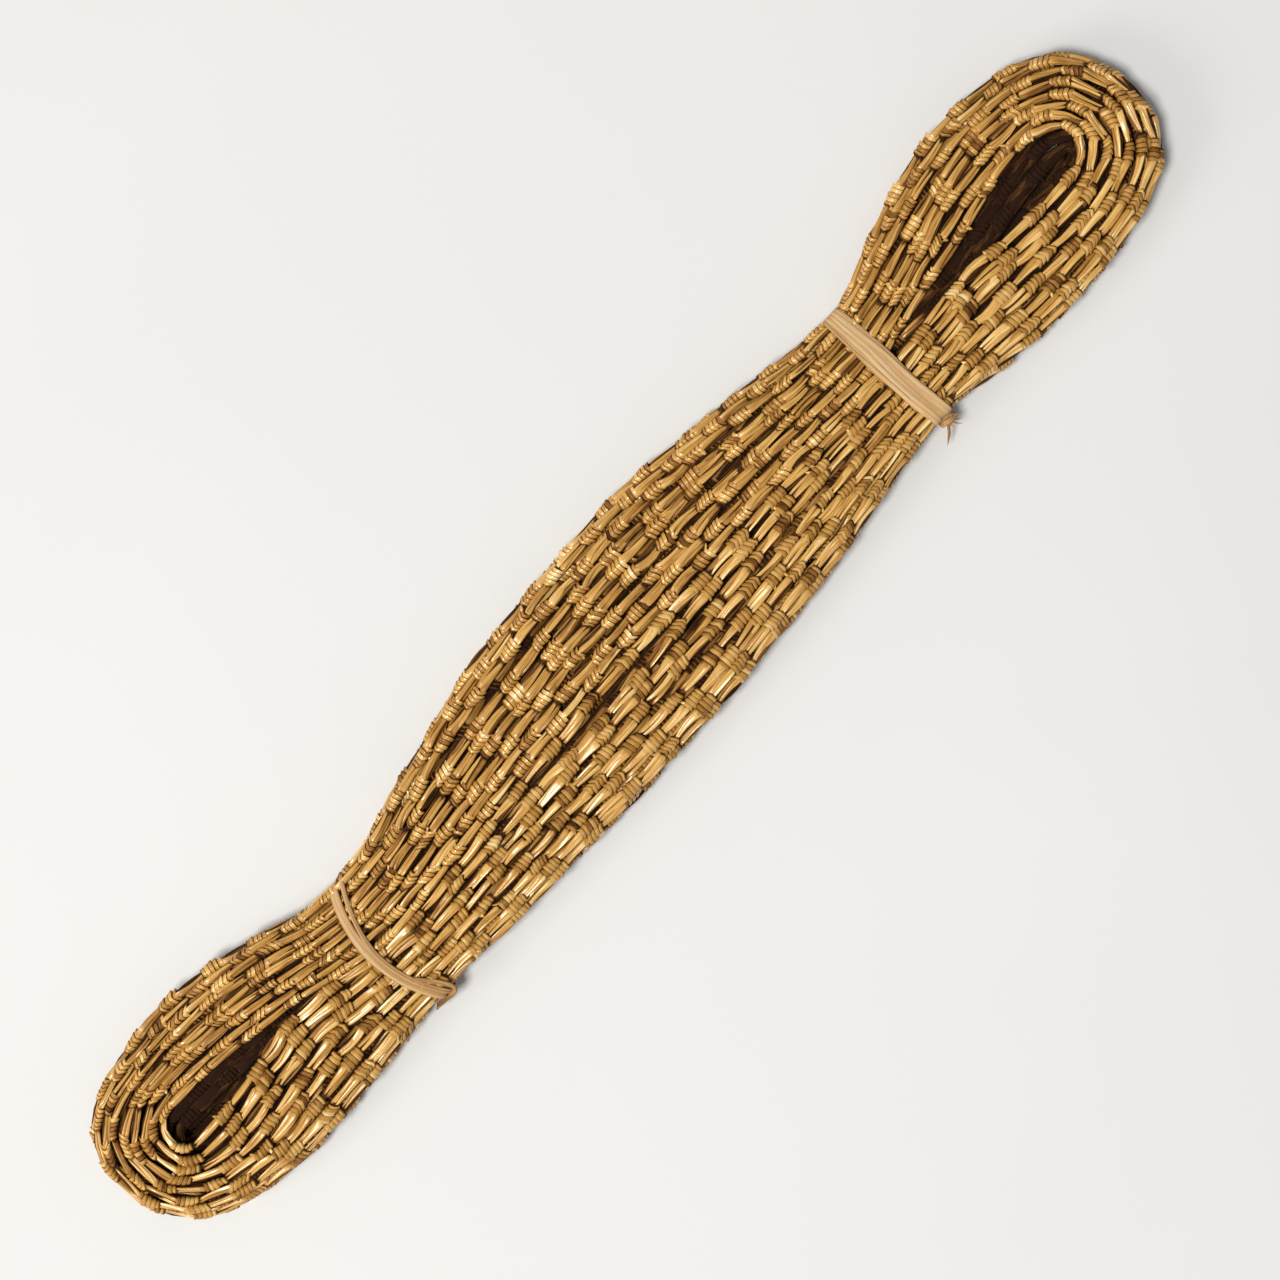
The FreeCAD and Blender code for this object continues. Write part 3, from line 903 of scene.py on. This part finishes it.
def add_fibre(pieces, corners, thick, tone, count=24):
    """A round fibre through corners, tapering to a point."""
    line = evenly(nurbs_line(np.array(corners)), count)
    along = np.gradient(line, axis=0)
    along /= np.linalg.norm(along, axis=1)[:, None]
    side_on = np.cross(along, (0.31, 0.22, 0.93))
    side_on /= np.linalg.norm(side_on, axis=1)[:, None]
    out = np.cross(along, side_on)
    angle = np.linspace(0, 2 * math.pi, 8, endpoint=False)[None]
    part = np.linspace(0, 1, count)[:, None]
    reach = thick / 2 * np.clip(1 - part**3, 0.12, 1)
    points = line[:, None] + side_on[:, None] * (np.cos(angle) * reach)[..., None]
    points = points + out[:, None] * (np.sin(angle) * reach * 0.7)[..., None]
    grain = (part + 0 * angle, np.cos(angle) + 0 * part, np.sin(angle) + 0 * part)
    pieces.add_tubes(points, tone, np.stack(grain, axis=-1))


def build_tie(name, node, fill):
    pieces = Pieces()
    fill(pieces)
    tie = pieces.build(name, bast)
    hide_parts(node)
    return tie


KNOT_AT = np.array([117.4, -28.6, 8.0])
KNOT_LOOPS = ((0.2, 0.3, 2.3), (1.0, 0.9, 2.0), (-0.7, 1.7, 2.2), (0.5, 2.6, 1.9))
KNOT_FIBRES = 16
TAIL = (KNOT_AT, (115.6, -31.4, 6.9), (113.4, -33.2, 5.2), (111.6, -34.4, 4.4))


def add_knot_loop(pieces, tilt, turn, size):
    """One loop of the wide tie's knot."""
    spin = np.linspace(0, 2.4 * math.pi, 60)
    first = np.array([math.cos(turn), 0.35 * math.sin(turn), math.sin(tilt)])
    second = np.cross(first, (0.2, 0.9, 0.35))
    first, second = first / np.linalg.norm(first), second / np.linalg.norm(second)
    axis = np.cross(first, second)
    ring = np.outer(np.cos(spin), first) * size * 1.2 + np.outer(np.sin(spin), second) * size
    ring = ring + np.outer(np.linspace(-0.5, 0.5, 60), axis)
    add_strip(pieces, KNOT_AT + ring * (1, 0.75, 1), axis, 0.95, 0.5, 2, 0.2, 0.42)


def add_frayed_fibre(pieces):
    heading = np.array(
        [rng.uniform(-0.5, 1.0), rng.uniform(-0.75, -0.1), rng.uniform(-0.7, 0.5)]
    )
    heading = heading / np.linalg.norm(heading) * rng.uniform(2.8, 5.2)
    bend = rng.normal(0, 0.5, 3)
    start = KNOT_AT + rng.normal(0, 0.5, 3)
    corners = [start, start + heading * 0.5 + bend, start + heading]
    add_fibre(pieces, corners, rng.uniform(0.35, 0.8), rng.uniform(0.25, 0.6))


def fill_wide(pieces):
    """A band with a slanted second turn over it, a frayed knot, a thin tail and loose fibres."""
    loop = round_hank(WIDE_ENDS, 190, 0.12)
    middle = (WIDE_ENDS[0] + WIDE_ENDS[1]) / 2
    outward = np.abs(loop[:, 0] - middle) / (WIDE_ENDS[1] - middle)
    x = WIDE_AT + 0.35 * np.sin(loop[:, 0] / 9)
    line = np.column_stack([x, loop])
    half_width = 4.2 - 0.7 * np.clip(outward, 0, 1) ** 2
    add_strip(pieces, line, CROSSWISE, half_width, 0.55, 5, 0.26, 0.62)
    # A second, narrower turn of the same strip lies over the first and slants across it.
    second_turn = lift_off(line, middle, 1.012, 1.035)
    second_turn[:, 0] += 0.9 - 0.04 * (loop[:, 0] - middle)
    add_strip(pieces, second_turn, CROSSWISE, 0.62 * half_width, 0.4, 3, 0.22, 0.66)
    for tilt, turn, size in KNOT_LOOPS:
        add_knot_loop(pieces, tilt, turn, size)
    for _ in range(KNOT_FIBRES):
        add_frayed_fibre(pieces)
    add_fibre(pieces, TAIL, 1.1, 0.16, 40)
    for drift in (-2.9, -0.6, 2.3):
        part = line[20:-20:4]
        over = lift_off(part, middle, 1.016, 1.065)
        over[:, 0] += drift + 0.4 * np.sin(part[:, 1] / 6 + drift)
        add_fibre(pieces, over, 0.5, 0.62 + 0.05 * drift, 150)


# The narrow tie's two strands: along the hank, how they spread, half width, ridges, lift and tone.
STRANDS = ((0.0, -1.0, 1.65, 2, 1.0, 0.6), (1.6, 1.6, 0.8, 2, 1.015, 0.54))
# Over the hank their X is BOW[0] + BOW[1] * part + BOW[2] * part**2, with part 0 at BOW_AT and 1
# at BOW_LENGTH above it.
BOW = (-127, 1.755, 7.245)
BOW_AT, BOW_LENGTH = -5, 23.4
UNDERNEATH_X = -119.5  # their X below the hank
# The folded end: places along it, and the direction across it at each.
FOLD = np.array([
    (-123.5, -20.0, 13.9, 0.75, 0.62, 0.1),
    (-120.6, -24.5, 13.8, 0.75, 0.55, 0.2),
    (-118.4, -28.0, 12.4, 0.75, 0.2, 0.5),
    (-118.2, -30.2, 10.0, 0.6, -0.2, 0.75),
    (-121.0, -31.2, 8.0, 0.2, -0.3, 0.95),
    (-126.0, -30.6, 6.4, 0.0, -0.3, 0.95),
])
FOLD_POINTS = 70


def fill_narrow(pieces):
    """Two strands that bow apart over the hank, and one end folded back on itself."""
    middle = np.mean(NARROW_ENDS)
    for shift, spread, half_width, ridges, lift, tone in STRANDS:
        loop = round_hank(NARROW_ENDS, 180, 0.1)
        part = (loop[:, 0] - BOW_AT) / BOW_LENGTH
        bowed = BOW[0] + BOW[1] * part + BOW[2] * part**2
        over = smooth((loop[:, 1] - 4) / 7)
        x = over * bowed + (1 - over) * UNDERNEATH_X
        x = x + shift + spread * np.clip(part, 0, 1) * over
        line = lift_off(np.column_stack([x, loop]), middle, lift, lift)
        add_strip(pieces, line, CROSSWISE, half_width, 0.5, ridges, 0.3, tone)
    line = evenly(nurbs_line(FOLD), FOLD_POINTS)
    along = np.linspace(0, 1, FOLD_POINTS)
    given_at = np.linspace(0, 1, len(FOLD))
    across = np.column_stack([np.interp(along, given_at, column) for column in FOLD[:, 3:].T])
    half_width = 1.2 + 0.9 * smooth(1.6 * along)
    add_strip(pieces, line, across, half_width, 0.5, 4, 0.26, 0.4)


build_tie("wide_bast_strip", "wide_tie", fill_wide)
build_tie("narrow_bast_strip", "narrow_tie", fill_narrow)

# ---------------------------------------------------------------- the floor and the light


FLOOR_SIZE = 6000.0
FLOOR_DROP = 0.2  # how far the floor lies below the hank


def add_floor():
    bpy.ops.mesh.primitive_plane_add(size=FLOOR_SIZE * MM, location=(0, 0, -FLOOR_DROP * MM))
    floor = bpy.context.object
    floor.name = "floor"
    material = bpy.data.materials.new("pale_plaster")
    material.use_nodes = True
    tree = material.node_tree
    shader = tree.nodes["Principled BSDF"]
    shader.inputs["Roughness"].default_value = 0.8
    noise = tree.nodes.new("ShaderNodeTexNoise")
    noise.inputs["Scale"].default_value = 9.0
    noise.inputs["Detail"].default_value = 8.0
    noise.inputs["Distortion"].default_value = 1.6
    colours = ramp(tree.nodes, ((0.3, (0.69, 0.715, 0.755)), (0.7, (0.73, 0.75, 0.79))))
    tree.links.new(noise.outputs["Fac"], colours.inputs["Fac"])
    tree.links.new(colours.outputs["Color"], shader.inputs["Base Color"])
    bump = tree.nodes.new("ShaderNodeBump")
    bump.inputs["Strength"].default_value = 0.12
    bump.inputs["Distance"].default_value = 0.002
    tree.links.new(noise.outputs["Fac"], bump.inputs["Height"])
    tree.links.new(bump.outputs["Normal"], shader.inputs["Normal"])
    floor.data.materials.append(material)


def add_area_light(name, power, size, towards_light, distance, colour):
    data = bpy.data.lights.new(name, "AREA")
    data.color = colour
    data.energy = power
    data.size = size
    light = bpy.data.objects.new(name, data)
    direction = np.array(towards_light) / np.linalg.norm(towards_light)
    light.location = direction * distance
    light.rotation_euler = Vector(direction).to_track_quat("Z", "Y").to_euler()
    bpy.context.scene.collection.objects.link(light)


def add_world(strength):
    world = bpy.data.worlds.new("studio")
    world.use_nodes = True
    background = world.node_tree.nodes["Background"]
    background.inputs["Color"].default_value = (1, 0.99, 0.97, 1)
    background.inputs["Strength"].default_value = strength
    bpy.context.scene.world = world


add_floor()
add_area_light("key", 78.0, 0.8, (-0.38, 0.08, 1.0), 3.0, (1.0, 0.95, 0.86))
add_area_light("side", 34.0, 1.2, (-1.0, 0.3, 0.5), 3.0, (1.0, 0.93, 0.82))
add_world(0.26)
bpy.context.scene.view_settings.view_transform = "Standard"
